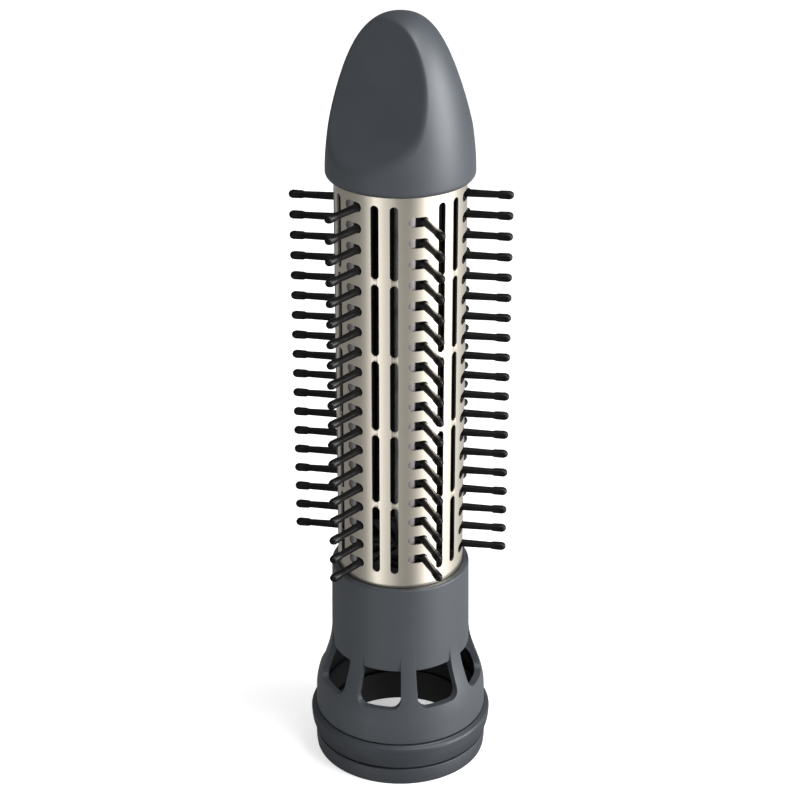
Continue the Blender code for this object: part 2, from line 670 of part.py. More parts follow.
def build_shaft(steel):
    """A straight steel shaft, drilled for the hub screw and grooved for the retaining clip."""
    groove_bottom = SHAFT_BOTTOM + CLIP_GROOVE_RISE
    groove_top = groove_bottom + CLIP_HEIGHT + 0.2
    bm = bmesh.new()
    add_rod(bm, [
        (SHAFT_RADIUS - SHAFT_CHAMFER, SHAFT_BOTTOM), (SHAFT_RADIUS, SHAFT_BOTTOM + SHAFT_CHAMFER),
        (SHAFT_RADIUS, groove_bottom), (CLIP_GROOVE_RADIUS, groove_bottom),
        (CLIP_GROOVE_RADIUS, groove_top), (SHAFT_RADIUS, groove_top),
        (SHAFT_RADIUS, SHAFT_TOP), (SCREW_HOLE_RADIUS, SHAFT_TOP),
        (SCREW_HOLE_RADIUS, SCREW_HOLE_BOTTOM),
    ], SMALL_SIDES)
    make_part("shaft", bm, steel)

    clip = bmesh.new()
    bottom = groove_bottom + 0.1
    outline = []
    for radius, direction in ((CLIP_GROOVE_RADIUS + 0.1, 1), (CLIP_RADIUS, -1)):
        for step in range(-5, 6):
            outline.append((radius, CLIP_SPREAD * step * direction))
    sections = []
    for height in (bottom, bottom + CLIP_HEIGHT):
        sections.append([at(radius, azimuth, height) for radius, azimuth in outline])
    add_loft(clip, sections)
    make_part("retaining_clip", clip, steel)

    washer = bmesh.new()
    washer_bottom = bottom + CLIP_HEIGHT + GAP
    add_turned_ring(washer, [
        (WASHER_RADIUS, washer_bottom), (WASHER_RADIUS, washer_bottom + WASHER_THICKNESS),
        (SHAFT_BORE, washer_bottom + WASHER_THICKNESS), (SHAFT_BORE, washer_bottom),
    ], SMALL_SIDES)
    make_part("thrust_washer", washer, steel)


def build_spider(plastic):
    """A fixed three-spoked carrier for the shaft's lower bearing, screwed to the collar's ledge."""
    bm = bmesh.new()
    add_turned_ring(bm, [
        (SPIDER_RADIUS, SPIDER_BOTTOM), (SPIDER_RADIUS, SPIDER_TOP),
        (SPIDER_RING_INNER, SPIDER_TOP), (SPIDER_RING_INNER, SPIDER_BOTTOM),
    ])
    spider = make_part("bearing_spider", bm, plastic)
    spokes = bmesh.new()
    for spoke in range(SPOKE_COUNT):
        azimuth = 360.0 / SPOKE_COUNT * spoke
        radii = (SPIDER_HUB_BORE + 0.4, SPIDER_RING_INNER + 1.0)
        add_block(spokes, azimuth, radii, SPOKE_HALF_WIDTH, (SPIDER_BOTTOM + 0.2, SPIDER_TOP - 0.2))
    combine(spider, "spider_spokes", spokes, "UNION")
    hub = bmesh.new()
    add_turned_ring(hub, [
        (SPIDER_HUB_RADIUS, SPIDER_BOTTOM), (SPIDER_HUB_RADIUS, SPIDER_HUB_TOP),
        (SPIDER_HUB_BORE, SPIDER_HUB_TOP), (SPIDER_HUB_BORE, SPIDER_BOTTOM),
    ], SMALL_SIDES)
    combine(spider, "spider_hub", hub, "UNION")
    holes = bmesh.new()
    for screw in range(SCREW_COUNT):
        centre = at(SCREW_CIRCLE, SCREW_AZIMUTH + 360.0 / SCREW_COUNT * screw)
        span = [(SCREW_CLEARANCE, SPIDER_BOTTOM - 1.0), (SCREW_CLEARANCE, SPIDER_TOP + 1.0)]
        add_rod(holes, span, PIN_SIDES, (centre.x, centre.y))
    combine(spider, "spider_screw_holes", holes, "DIFFERENCE")


def build_bush_and_seal(bronze, rubber):
    bush = bmesh.new()
    add_turned_ring(bush, [
        (BUSH_RADIUS, SPIDER_BOTTOM), (BUSH_RADIUS, SPIDER_HUB_TOP + GAP),
        (SPIDER_HUB_RADIUS, SPIDER_HUB_TOP + GAP), (SPIDER_HUB_RADIUS, BUSH_FLANGE_TOP),
        (SHAFT_BORE, BUSH_FLANGE_TOP), (SHAFT_BORE, SPIDER_BOTTOM),
    ], SMALL_SIDES)
    make_part("lower_bush", bush, bronze)
    seal = bmesh.new()
    add_turned_ring(seal, [
        (BARREL_RADIUS, SEAL_BOTTOM), (BARREL_RADIUS, SEAL_TOP),
        (SEAL_INNER, SEAL_TOP), (SEAL_INNER, SEAL_BOTTOM),
    ])
    make_part("barrel_seal", seal, rubber)


def build_detent_spring(steel):
    """A bent leaf on one spoke. Its crest presses on the underside of the lower scroll plate."""
    foot = SPIDER_TOP + GAP + DETENT_THICKNESS / 2
    crest = SPINE_BOTTOM - 2 * (PLATE_THICKNESS + GAP) - GAP - DETENT_THICKNESS / 2
    line = [(radius, foot) for radius in DETENT_FOOT_RADII]
    line += [
        (DETENT_BEND[0], foot + DETENT_BEND[1]), (DETENT_RISE[0], crest - DETENT_RISE[1]),
        (DETENT_CREST_RADIUS, crest), (DETENT_TIP[0], crest - DETENT_TIP[1]),
    ]
    upper, lower = [], []
    for step, (radius, height) in enumerate(line):
        before = Vector(line[max(step - 1, 0)])
        after = Vector(line[min(step + 1, len(line) - 1)])
        direction = (after - before).normalized()
        shift = Vector((-direction.y, direction.x)) * DETENT_THICKNESS / 2
        point = Vector((radius, height))
        upper.append(point + shift)
        lower.append(point - shift)
    outline = upper + lower[::-1]
    sections = []
    for sideways in (-DETENT_HALF_WIDTH, DETENT_HALF_WIDTH):
        sections.append([at(point.x, 0.0, point.y, sideways) for point in outline])
    bm = bmesh.new()
    add_loft(bm, sections)
    make_part("detent_spring", bm, steel)


def build_collar_screws(steel):
    for screw in range(SCREW_COUNT):
        centre = at(SCREW_CIRCLE, SCREW_AZIMUTH + 360.0 / SCREW_COUNT * screw)
        head_top = SCREW_HEAD_BOTTOM + SCREW_HEAD_HEIGHT
        profile = [
            (SCREW_HEAD_RADIUS, SCREW_HEAD_BOTTOM), (SCREW_HEAD_RADIUS, head_top),
            (SCREW_RADIUS, head_top), (SCREW_RADIUS, SCREW_TOP - 0.8), (SCREW_RADIUS / 2, SCREW_TOP),
        ]
        bm = bmesh.new()
        add_rod(bm, profile, PIN_SIDES, (centre.x, centre.y))
        make_part(f"collar_screw_{screw + 1}", bm, steel)


clear_scene()

HOUSING_PLASTIC = make_material("housing_plastic", (0.062, 0.068, 0.078), 0.42, 0.0)
BARREL_METAL = make_material("barrel_metal", (0.52, 0.49, 0.43), 0.28, 1.0)
BRISTLE_PLASTIC = make_material("bristle_plastic", (0.012, 0.012, 0.014), 0.22, 0.0)
INNER_PLASTIC = make_material("inner_plastic", (0.03, 0.03, 0.032), 0.5, 0.0)
STEEL = make_material("steel", (0.56, 0.57, 0.58), 0.3, 1.0)
BRONZE = make_material("bronze", (0.42, 0.27, 0.12), 0.4, 1.0)
RUBBER = make_material("rubber", (0.02, 0.02, 0.02), 0.8, 0.0)

LOWER_GUIDE_BOTTOM = SPINE_BOTTOM - GAP - PLATE_THICKNESS
LOWER_SCROLL_BOTTOM = LOWER_GUIDE_BOTTOM - GAP - PLATE_THICKNESS
UPPER_GUIDE_BOTTOM = SPINE_TOP + GAP
UPPER_SCROLL_BOTTOM = UPPER_GUIDE_BOTTOM + PLATE_THICKNESS + GAP

build_lock_ring(HOUSING_PLASTIC)
build_coupling_ring(HOUSING_PLASTIC)
build_collar(HOUSING_PLASTIC)
build_collar_screws(STEEL)
build_spider(INNER_PLASTIC)
build_bush_and_seal(BRONZE, RUBBER)
build_detent_spring(STEEL)
build_barrel(BARREL_METAL)
build_guide_plate("lower_guide_plate", LOWER_GUIDE_BOTTOM, True, INNER_PLASTIC)
build_guide_plate("upper_guide_plate", UPPER_GUIDE_BOTTOM, False, INNER_PLASTIC)
build_scroll("lower_scroll", LOWER_SCROLL_BOTTOM, BUSH_FLANGE_TOP + GAP, INNER_PLASTIC)
build_scroll("upper_scroll", UPPER_SCROLL_BOTTOM, None, INNER_PLASTIC)
build_shaft(STEEL)
build_hub(INNER_PLASTIC, STEEL)
build_cap(HOUSING_PLASTIC)
for comb_row in range(ROW_COUNT):
    build_comb(comb_row, BRISTLE_PLASTIC)
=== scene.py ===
"""A hot air brush head: slotted metal barrel, six rows of retracting bristles, finger-grip cap and collar.

Lengths are metres. Heights are above the table. Azimuths are degrees from the front, which is -Y, turning
counter-clockwise as seen from above.
"""

import math

import bpy
from mathutils import Matrix, Vector


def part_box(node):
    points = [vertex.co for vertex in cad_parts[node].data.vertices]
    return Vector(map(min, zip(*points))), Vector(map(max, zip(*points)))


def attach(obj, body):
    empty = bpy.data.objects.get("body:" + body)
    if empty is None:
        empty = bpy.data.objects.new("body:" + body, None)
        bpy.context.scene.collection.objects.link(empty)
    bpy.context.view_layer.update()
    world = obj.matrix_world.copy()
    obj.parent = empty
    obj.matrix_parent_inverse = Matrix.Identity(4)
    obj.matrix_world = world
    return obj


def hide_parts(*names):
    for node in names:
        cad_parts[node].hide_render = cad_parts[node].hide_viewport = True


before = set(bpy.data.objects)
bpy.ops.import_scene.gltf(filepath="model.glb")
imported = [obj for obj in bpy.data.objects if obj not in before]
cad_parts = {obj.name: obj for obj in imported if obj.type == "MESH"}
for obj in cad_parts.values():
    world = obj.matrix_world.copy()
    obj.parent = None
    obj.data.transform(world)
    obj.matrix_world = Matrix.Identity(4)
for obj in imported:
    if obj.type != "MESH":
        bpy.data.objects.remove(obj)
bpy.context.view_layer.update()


# Camera: a long lens in front of the brush and a little above it, looking down on it.
camera_place = (-0.0001, -0.4546, 0.3097)
camera_tilt = 64.6
camera_lens = 96.82

bpy.ops.object.select_all(action="DESELECT")
bpy.ops.object.camera_add(location=camera_place)
camera = bpy.context.object
camera.rotation_euler = (math.radians(camera_tilt), 0.0, 0.0)
camera.data.lens = camera_lens
camera.data.sensor_width = 36.0
camera.data.clip_start = 0.01
bpy.context.scene.camera = camera


# Table: a plain sheet of white paper, bright enough that only the brush's soft shadow shows on it. It throws
# no light back at the brush, because the studio surroundings stand for that too.
table_side = 8.0
paper_white = 0.86
paper_glow = 0.48

bpy.ops.mesh.primitive_plane_add(size=table_side, location=(0.0, 0.0, 0.0))
table = bpy.context.object
table.name = "table"
table.visible_glossy = False
table.visible_diffuse = False
paper = bpy.data.materials.new("white_paper")
paper.use_nodes = True
paper_shader = paper.node_tree.nodes["Principled BSDF"]
paper_shader.inputs["Base Color"].default_value = (paper_white, paper_white, paper_white, 1.0)
paper_shader.inputs["Roughness"].default_value = 0.9
paper_shader.inputs["Emission Color"].default_value = (1.0, 1.0, 1.0, 1.0)
paper_shader.inputs["Emission Strength"].default_value = paper_glow
table.data.materials.append(paper)

bpy.context.scene.view_settings.view_transform = "Standard"


# Lights: two softboxes on the right, with grids on their fronts. The wide one hangs level with the cap and
# the small one high above it.
def soft_light(name, azimuth, elevation, distance, size, watts, aim, spread):
    """A softbox that hangs at a distance from a point of the brush and faces it."""
    turn = math.radians(azimuth)
    tilt = math.radians(elevation)
    flat = distance * math.cos(tilt)
    place = Vector((flat * math.sin(turn), -flat * math.cos(turn), distance * math.sin(tilt)))
    place += Vector(aim)
    bpy.ops.object.light_add(type="AREA", location=place)
    lamp = bpy.context.object
    lamp.name = name
    lamp.data.shape = "RECTANGLE"
    lamp.data.size, lamp.data.size_y = size
    lamp.data.energy = watts
    lamp.data.spread = math.radians(spread)
    lamp.rotation_euler = (Vector(aim) - place).to_track_quat("-Z", "Y").to_euler()


soft_light(
    "key_softbox", azimuth=76.0, elevation=9.0, distance=0.55, size=(0.80, 0.42), watts=1.58,
    aim=(0.0, 0.0, 0.165), spread=54.0,
)
soft_light(
    "top_softbox", azimuth=50.0, elevation=58.0, distance=0.90, size=(0.32, 0.32), watts=1.5,
    aim=(0.0, 0.0, 0.05), spread=120.0,
)


# Studio surroundings: tall bright and dark panels that stand as a cylinder round the brush. The metal shows
# them as upright bands, and a plain white glow, stronger from below, lights the plastic.
panel_levels = (                # (azimuth, brightness)
    (-180, 0.45), (-140, 0.25), (-98, 0.27), (-78, 0.33), (-64, 0.41), (-53, 1.05), (-43, 1.90), (-36, 1.60),
    (-30, 1.08), (-19, 0.92), (-10, 0.66), (-3, 0.48), (8, 0.42), (22, 0.42), (34, 0.90), (46, 1.90),
    (64, 3.00), (84, 1.85), (98, 1.42), (112, 1.05), (128, 0.80), (146, 0.55), (180, 0.45),
)
panel_heights = (               # (height of the direction, from -1 to 1, share of the brightness)
    (-0.575, 0.22), (-0.548, 0.75), (-0.52, 0.95), (-0.485, 1.0), (-0.33, 1.0), (-0.20, 0.30),
    (0.50, 0.36), (0.85, 0.90),
)
glow_low, glow_high = (-0.5, 1.85), (0.6, 0.70)     # (height of the direction, brightness)


def grey_ramp(source, lowest, highest, levels):
    """Nodes that turn a value into a grey level, which runs evenly from each given value to the next."""
    share = sky.nodes.new("ShaderNodeMapRange")
    share.inputs["From Min"].default_value = lowest
    share.inputs["From Max"].default_value = highest
    sky.links.new(source, share.inputs["Value"])
    ramp = sky.nodes.new("ShaderNodeValToRGB")
    stops = ramp.color_ramp.elements
    while len(stops) > 1:
        stops.remove(stops[-1])
    for index, (value, level) in enumerate(levels):
        place = (value - lowest) / (highest - lowest)
        stop = stops[0] if index == 0 else stops.new(place)
        stop.position = place
        stop.color = (level, level, level, 1.0)
    sky.links.new(share.outputs["Result"], ramp.inputs[0])
    return ramp.outputs[0]


def mix_by(ray, first, second):
    """Nodes that use the second shader for one kind of ray and the first for all others."""
    mix = sky.nodes.new("ShaderNodeMixShader")
    sky.links.new(rays.outputs[ray], mix.inputs[0])
    sky.links.new(first.outputs[0], mix.inputs[1])
    sky.links.new(second.outputs[0], mix.inputs[2])
    return mix


world = bpy.data.worlds.new("studio")
bpy.context.scene.world = world
world.use_nodes = True
sky = world.node_tree
sky.nodes.clear()
direction = sky.nodes.new("ShaderNodeTexCoord")
split = sky.nodes.new("ShaderNodeSeparateXYZ")
sky.links.new(direction.outputs["Generated"], split.inputs[0])
forward = sky.nodes.new("ShaderNodeMath")
forward.operation = "MULTIPLY"
forward.inputs[1].default_value = -1.0
sky.links.new(split.outputs["Y"], forward.inputs[0])
bearing = sky.nodes.new("ShaderNodeMath")
bearing.operation = "ARCTAN2"
sky.links.new(split.outputs["X"], bearing.inputs[0])
sky.links.new(forward.outputs[0], bearing.inputs[1])
panel_radians = [(math.radians(azimuth), level) for azimuth, level in panel_levels]
gloss_glow = sky.nodes.new("ShaderNodeBackground")
sky.links.new(grey_ramp(bearing.outputs[0], -math.pi, math.pi, panel_radians), gloss_glow.inputs["Color"])
sky.links.new(grey_ramp(split.outputs["Z"], -1.0, 1.0, panel_heights), gloss_glow.inputs["Strength"])
fade = sky.nodes.new("ShaderNodeMapRange")
fade.inputs["From Min"].default_value, fade.inputs["To Min"].default_value = glow_low
fade.inputs["From Max"].default_value, fade.inputs["To Max"].default_value = glow_high
sky.links.new(split.outputs["Z"], fade.inputs["Value"])
soft_glow = sky.nodes.new("ShaderNodeBackground")
sky.links.new(fade.outputs["Result"], soft_glow.inputs["Strength"])
white = sky.nodes.new("ShaderNodeBackground")
white.inputs["Color"].default_value = (1.0, 1.0, 1.0, 1.0)
rays = sky.nodes.new("ShaderNodeLightPath")
lit = mix_by("Is Glossy Ray", soft_glow, gloss_glow)
seen = mix_by("Is Camera Ray", lit, white)
sky_out = sky.nodes.new("ShaderNodeOutputWorld")
sky.links.new(seen.outputs[0], sky_out.inputs["Surface"])


# Cap: a moulded knob of dark satin plastic, turned as a rounded cone. Two hollows for finger and thumb are
# pressed into opposite sides. It is hollow below, where it covers the scroll plate and its hub.
def settle_primitive(name):
    """Name the primitive just added and put its place, turn and size into its mesh."""
    piece = bpy.context.object
    piece.name = name
    bpy.ops.object.transform_apply(location=True, rotation=True, scale=True)
    return piece


def turned(name, outline, steps):
    """Trace a closed outline of (radius, height) points by extruding a corner, then spin it."""
    seam_gap = 0.000002
    bpy.ops.object.select_all(action="DESELECT")
    bpy.ops.mesh.primitive_plane_add(size=0.001, location=(outline[0][0], 0.0, outline[0][1]))
    piece = settle_primitive(name)
    bpy.ops.object.mode_set(mode="EDIT")
    bpy.ops.mesh.select_mode(type="VERT")
    bpy.ops.mesh.select_all(action="SELECT")
    bpy.ops.mesh.merge(type="CENTER")
    path = outline + [outline[0]]
    for (radius, height), (next_radius, next_height) in zip(path, path[1:]):
        step = (next_radius - radius, 0.0, next_height - height)
        bpy.ops.mesh.extrude_vertices_move(TRANSFORM_OT_translate={"value": step})
    bpy.ops.mesh.select_all(action="SELECT")
    bpy.ops.mesh.spin(steps=steps, angle=math.tau, center=(0.0, 0.0, 0.0), axis=(0.0, 0.0, 1.0))
    bpy.ops.mesh.select_all(action="SELECT")
    bpy.ops.mesh.remove_doubles(threshold=seam_gap)
    bpy.ops.mesh.normals_make_consistent(inside=False)
    bpy.ops.object.mode_set(mode="OBJECT")
    return piece


def arc(centre, radius, start, end, steps):
    """Points on an arc in the outline's plane; 0 degrees points outwards and 90 degrees points up."""
    points = []
    for step in range(steps + 1):
        angle = math.radians(start + (end - start) * step / steps)
        points.append((centre[0] + radius * math.cos(angle), centre[1] + radius * math.sin(angle)))
    return points


def choose(piece):
    """Select one piece and nothing else."""
    bpy.ops.object.select_all(action="DESELECT")
    piece.select_set(True)
    bpy.context.view_layer.objects.active = piece


def smooth(piece, degrees):
    """Shade a piece smooth, except across edges sharper than an angle."""
    choose(piece)
    bpy.ops.object.shade_smooth_by_angle(angle=math.radians(degrees))


def surface_finish(
    name, colour, roughness, metallic, grain_size, grain_depth, tint=0.12, spread=0.06, gloss=0.5,
):
    """A surface finish: blotches of slightly uneven colour and roughness, and a fine grain as bump."""
    blotches_per_metre = 90.0
    grain_strength = 0.35
    finish = bpy.data.materials.new(name)
    finish.use_nodes = True
    tree = finish.node_tree
    shader = tree.nodes["Principled BSDF"]
    shader.inputs["Metallic"].default_value = metallic
    shader.inputs["Specular IOR Level"].default_value = gloss
    place = tree.nodes.new("ShaderNodeTexCoord")
    blotches = tree.nodes.new("ShaderNodeTexNoise")
    blotches.inputs["Scale"].default_value = blotches_per_metre
    blotches.inputs["Detail"].default_value = 4.0
    tree.links.new(place.outputs["Object"], blotches.inputs["Vector"])
    shade = tree.nodes.new("ShaderNodeMix")
    shade.data_type = "RGBA"
    shade.inputs["A"].default_value = (*[channel * (1.0 - tint) for channel in colour], 1.0)
    shade.inputs["B"].default_value = (*[channel * (1.0 + tint) for channel in colour], 1.0)
    tree.links.new(blotches.outputs["Fac"], shade.inputs["Factor"])
    tree.links.new(shade.outputs["Result"], shader.inputs["Base Color"])
    rub = tree.nodes.new("ShaderNodeMapRange")
    rub.inputs["To Min"].default_value = roughness - spread
    rub.inputs["To Max"].default_value = roughness + spread
    tree.links.new(blotches.outputs["Fac"], rub.inputs["Value"])
    tree.links.new(rub.outputs["Result"], shader.inputs["Roughness"])
    grain = tree.nodes.new("ShaderNodeTexNoise")
    grain.inputs["Scale"].default_value = 1.0 / grain_size
    grain.inputs["Detail"].default_value = 2.0
    tree.links.new(place.outputs["Object"], grain.inputs["Vector"])
    bump = tree.nodes.new("ShaderNodeBump")
    bump.inputs["Strength"].default_value = grain_strength
    bump.inputs["Distance"].default_value = grain_depth
    tree.links.new(grain.outputs["Fac"], bump.inputs["Height"])
    tree.links.new(bump.outputs["Normal"], shader.inputs["Normal"])
    return finish


cap_bottom = 0.1495
cap_widest = 0.1510
cap_top = 0.1864
cap_radius = 0.0169
cap_taper = 1.68                # higher keeps the cap wide for longer
cap_nose = 2.42                 # higher makes its top blunter
cap_steps = 72
cap_mouth = 0.0145
plate_space = 0.0130
hub_socket = 0.0053
screw_space = 0.0030
hollow_bottom = 0.1538
hollow_start = 0.1550
hollow_neck = 0.00315           # distance of the hollow's wall from the axis, far up
hollow_depth = 0.01095          # what is added to it at hollow_start
hollow_ease = 0.01354           # height over which that fades
hollow_bowl = 0.414             # slope of the hollow's lower edge
hollow_bowl_top = 0.1613
hollow_bowl_blend = 0.0008
hollow_azimuths = (-39.0, 141.0)
hollow_edge = 0.0006
nose_centre = 0.002             # the hollows leave the tip alone inside this radius

cap_rise = cap_top - cap_widest
outline = [(cap_mouth, cap_bottom), (0.0153, cap_bottom)]
outline += arc((0.0157, 0.1507), 0.0012, -80, -8, 6)
for step in range(cap_steps):
    rise = math.sin(math.pi / 2 * step / cap_steps)
    radius = cap_radius * (1.0 - rise ** cap_taper) ** (1.0 / cap_nose)
    outline.append((radius, cap_widest + cap_rise * rise))
outline.append((0.0, cap_top))
outline += [
    (0.0, 0.1665), (screw_space, 0.1665), (screw_space, 0.1638), (hub_socket, 0.1638),
    (hub_socket, 0.1534), (plate_space, 0.1534), (plate_space, 0.1513), (cap_mouth, 0.1513),
]
cap = turned("cap_shell", outline, 240)
for vertex in cap.data.vertices:
    distance = math.hypot(vertex.co.x, vertex.co.y)
    if distance < nose_centre or vertex.co.z < hollow_bottom:
        continue
    plane = hollow_neck + hollow_depth * math.exp((hollow_start - vertex.co.z) / hollow_ease)
    below = (hollow_bowl_top - vertex.co.z) / hollow_bowl_blend
    plane += hollow_bowl * hollow_bowl_blend * math.log1p(math.exp(min(below, 30.0)))
    azimuth = math.degrees(math.atan2(vertex.co.x, -vertex.co.y))
    for middle in hollow_azimuths:
        facing = math.cos(math.radians(azimuth - middle))
        if facing < 0.05:
            continue
        limit = plane / facing
        blend = min(max(0.5 + 0.5 * (limit - distance) / hollow_edge, 0.0), 1.0)
        pressed = limit + (distance - limit) * blend - hollow_edge * blend * (1.0 - blend)
        scale = pressed / distance
        vertex.co.x *= scale
        vertex.co.y *= scale
        distance = pressed
smooth(cap, 40)
satin_plastic = surface_finish("satin_plastic", (0.046, 0.053, 0.062), 0.45, 0.0, 0.00035, 0.00002)
cap.data.materials.append(satin_plastic)
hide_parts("cap")
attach(cap, "knob")


# Barrel: thin champagne anodised tube. Each bristle has its own crosswise slot with a pressed lead-in at one
# end, and twelve columns of long slots let the air out. The slots' edges are rolled smooth.
def apply_modifiers(piece):
    """Make what a piece's modifiers do part of its mesh."""
    choose(piece)
    for modifier in list(piece.modifiers):
        bpy.ops.object.modifier_apply(modifier=modifier.name)


def cut(piece, shape, operation="DIFFERENCE"):
    """Cut a shape out of a piece, or unite it with the piece, and throw the shape away."""
    modifier = piece.modifiers.new("cut", "BOOLEAN")
    modifier.operation = operation
    modifier.object = shape
    apply_modifiers(piece)
    bpy.data.objects.remove(shape)


def round_edges(piece, width, segments, degrees):
    """Round the edges sharper than an angle."""
    modifier = piece.modifiers.new("edges", "BEVEL")
    modifier.limit_method = "ANGLE"
    modifier.angle_limit = math.radians(degrees)
    modifier.width = width
    modifier.segments = segments
    modifier.harden_normals = False
    apply_modifiers(piece)


def even_normals(piece):
    """Let the large faces lead the shading, so that rounded edges don't pull light across them."""
    modifier = piece.modifiers.new("even", "WEIGHTED_NORMAL")
    modifier.mode = "FACE_AREA"
    modifier.weight = 100
    modifier.keep_sharp = True
    apply_modifiers(piece)


def add_thickness(piece, thickness):
    """Give an open skin a thickness, inwards from its faces."""
    modifier = piece.modifiers.new("wall", "SOLIDIFY")
    modifier.thickness = thickness
    modifier.offset = -1.0
    apply_modifiers(piece)


def select_where(piece, kind, test):
    """Go into edit mode with only those vertices, edges or faces selected that pass a test."""
    bpy.ops.object.mode_set(mode="EDIT")
    bpy.ops.mesh.select_mode(type=kind)
    bpy.ops.mesh.select_all(action="DESELECT")
    bpy.ops.object.mode_set(mode="OBJECT")
    parts = {"VERT": piece.data.vertices, "EDGE": piece.data.edges, "FACE": piece.data.polygons}[kind]
    for part in parts:
        part.select = test(part)
    bpy.ops.object.mode_set(mode="EDIT")


def edge_ends(piece, edge):
    """The places of an edge's two ends."""
    return [piece.data.vertices[index].co for index in edge.vertices]


def turn_to(azimuth):
    """Turn from the front to an azimuth."""
    return Matrix.Rotation(math.radians(azimuth), 4, "Z")


def join(pieces, name):
    """Join pieces into the first of them."""
    choose(pieces[0])
    for piece in pieces[1:]:
        piece.select_set(True)
    if len(pieces) > 1:
        bpy.ops.object.join()
    pieces[0].name = name
    return pieces[0]


def place_copies(first, places, name):
    """Copy a finished shape to each place, each copy with its own mesh, and join the copies into one."""
    copies = []
    for place in places:
        twin = first.copy()
        twin.data = first.data.copy()
        bpy.context.scene.collection.objects.link(twin)
        twin.data.transform(place)
        copies.append(twin)
    return join(copies, name)


def rounded_cutter(name, width, height):
    """A bar through the front wall, whose section is a slot with round ends."""
    depth = 0.004
    flat_left = 0.00001
    bpy.ops.object.select_all(action="DESELECT")
    bpy.ops.mesh.primitive_cube_add(size=1.0, scale=(width, depth, height))
    cutter = settle_primitive(name)

    def runs_through(edge):
        start, end = edge_ends(cutter, edge)
        return abs(start.y - end.y) > depth / 2

    select_where(cutter, "EDGE", runs_through)
    bpy.ops.mesh.bevel(offset=min(width, height) / 2 - flat_left, segments=7, affect="EDGES")
    bpy.ops.object.mode_set(mode="OBJECT")
    return cutter


barrel_radius = 0.0150
barrel_wall = 0.00045
barrel_bottom = 0.0402
barrel_top = 0.1492
row_azimuths = [20.95 + 60.0 * row for row in range(6)]
bristle_pitch = 0.004946
top_bristle = 0.1460
long_row_bristles = 19
slot_left = -14.2               # azimuths of a bristle slot's ends, measured from its bristle
slot_right = 3.95
slot_height = 0.00225
long_slot_offsets = (16.7, 33.7)
long_slot_width = 0.00192
long_slot_length = 0.0173
long_slot_pitch = 0.01857
long_slot_top = 0.1472
long_slot_count = 5


def bristle_heights(row):
    """Alternate rows stand half a pitch lower and have one bristle fewer."""
    if row % 2:
        return [top_bristle - bristle_pitch * step for step in range(long_row_bristles)]
    return [top_bristle - bristle_pitch * (step + 0.5) for step in range(long_row_bristles - 1)]


def on_barrel(azimuth, height):
    """Move from the origin onto the barrel's surface at an azimuth and a height."""
    return turn_to(azimuth) @ Matrix.Translation((0.0, -barrel_radius, height))


slot_middle = (slot_left + slot_right) / 2
slot_length = 2 * barrel_radius * math.sin(math.radians(slot_right - slot_left) / 2)
slot_places = []
long_places = []
for row, azimuth in enumerate(row_azimuths):
    for height in bristle_heights(row):
        slot_places.append(on_barrel(azimuth + slot_middle, height))
    for offset in long_slot_offsets:
        for step in range(long_slot_count):
            height = long_slot_top - long_slot_length / 2 - long_slot_pitch * step
            long_places.append(on_barrel(azimuth + offset, height))

bpy.ops.object.select_all(action="DESELECT")
bpy.ops.mesh.primitive_cylinder_add(
    vertices=180, radius=barrel_radius, depth=barrel_top - barrel_bottom, end_fill_type="NOTHING",
    location=(0.0, 0.0, (barrel_top + barrel_bottom) / 2),
)
barrel = settle_primitive("barrel_tube")
add_thickness(barrel, barrel_wall)
short_cutter = rounded_cutter("short_slot", slot_length, slot_height)
cut(barrel, place_copies(short_cutter, slot_places, "short_slots"))
bpy.data.objects.remove(short_cutter)
long_cutter = rounded_cutter("long_slot", long_slot_width, long_slot_length)
cut(barrel, place_copies(long_cutter, long_places, "long_slots"))
bpy.data.objects.remove(long_cutter)
round_edges(barrel, width=0.00012, segments=2, degrees=40)

# A lead-in is a curved ramp in the slot's left end, pressed inwards with the slot.
ramp = (                        # (distance sideways from the slot's middle, depth below the outside)
    (-0.00255, 0.00030), (-0.00210, 0.00031), (-0.00160, 0.00038), (-0.00110, 0.00050),
    (-0.00070, 0.00064), (-0.00044, 0.00086), (-0.00036, 0.00125),
)
ramp_skin = 0.00022
ramp_overlap = 0.00005
ramp_start = (ramp[0][0] + ramp[1][0]) / 2
bpy.ops.object.select_all(action="DESELECT")
bpy.ops.mesh.primitive_plane_add(
    size=1.0, location=(ramp_start, ramp[0][1], 0.0), rotation=(math.radians(90), 0.0, 0.0))
bpy.context.object.scale = (ramp[1][0] - ramp[0][0], slot_height + 2 * ramp_overlap, 1.0)
lead_in = settle_primitive("lead_in")
select_where(lead_in, "VERT", lambda vertex: vertex.co.x > ramp_start)
for (along, depth), (next_along, next_depth) in zip(ramp[1:], ramp[2:]):
    move = {"value": (next_along - along, next_depth - depth, 0.0)}
    bpy.ops.mesh.extrude_region_move(TRANSFORM_OT_translate=move)
bpy.ops.mesh.select_all(action="SELECT")
bpy.ops.mesh.normals_make_consistent(inside=False)
bpy.ops.object.mode_set(mode="OBJECT")
if lead_in.data.polygons[0].normal.y > 0.0:
    lead_in.data.flip_normals()
add_thickness(lead_in, ramp_skin)
lead_ins = place_copies(lead_in, slot_places, "lead_ins")
bpy.data.objects.remove(lead_in)
smooth(lead_ins, 50)
smooth(barrel, 24)
even_normals(barrel)

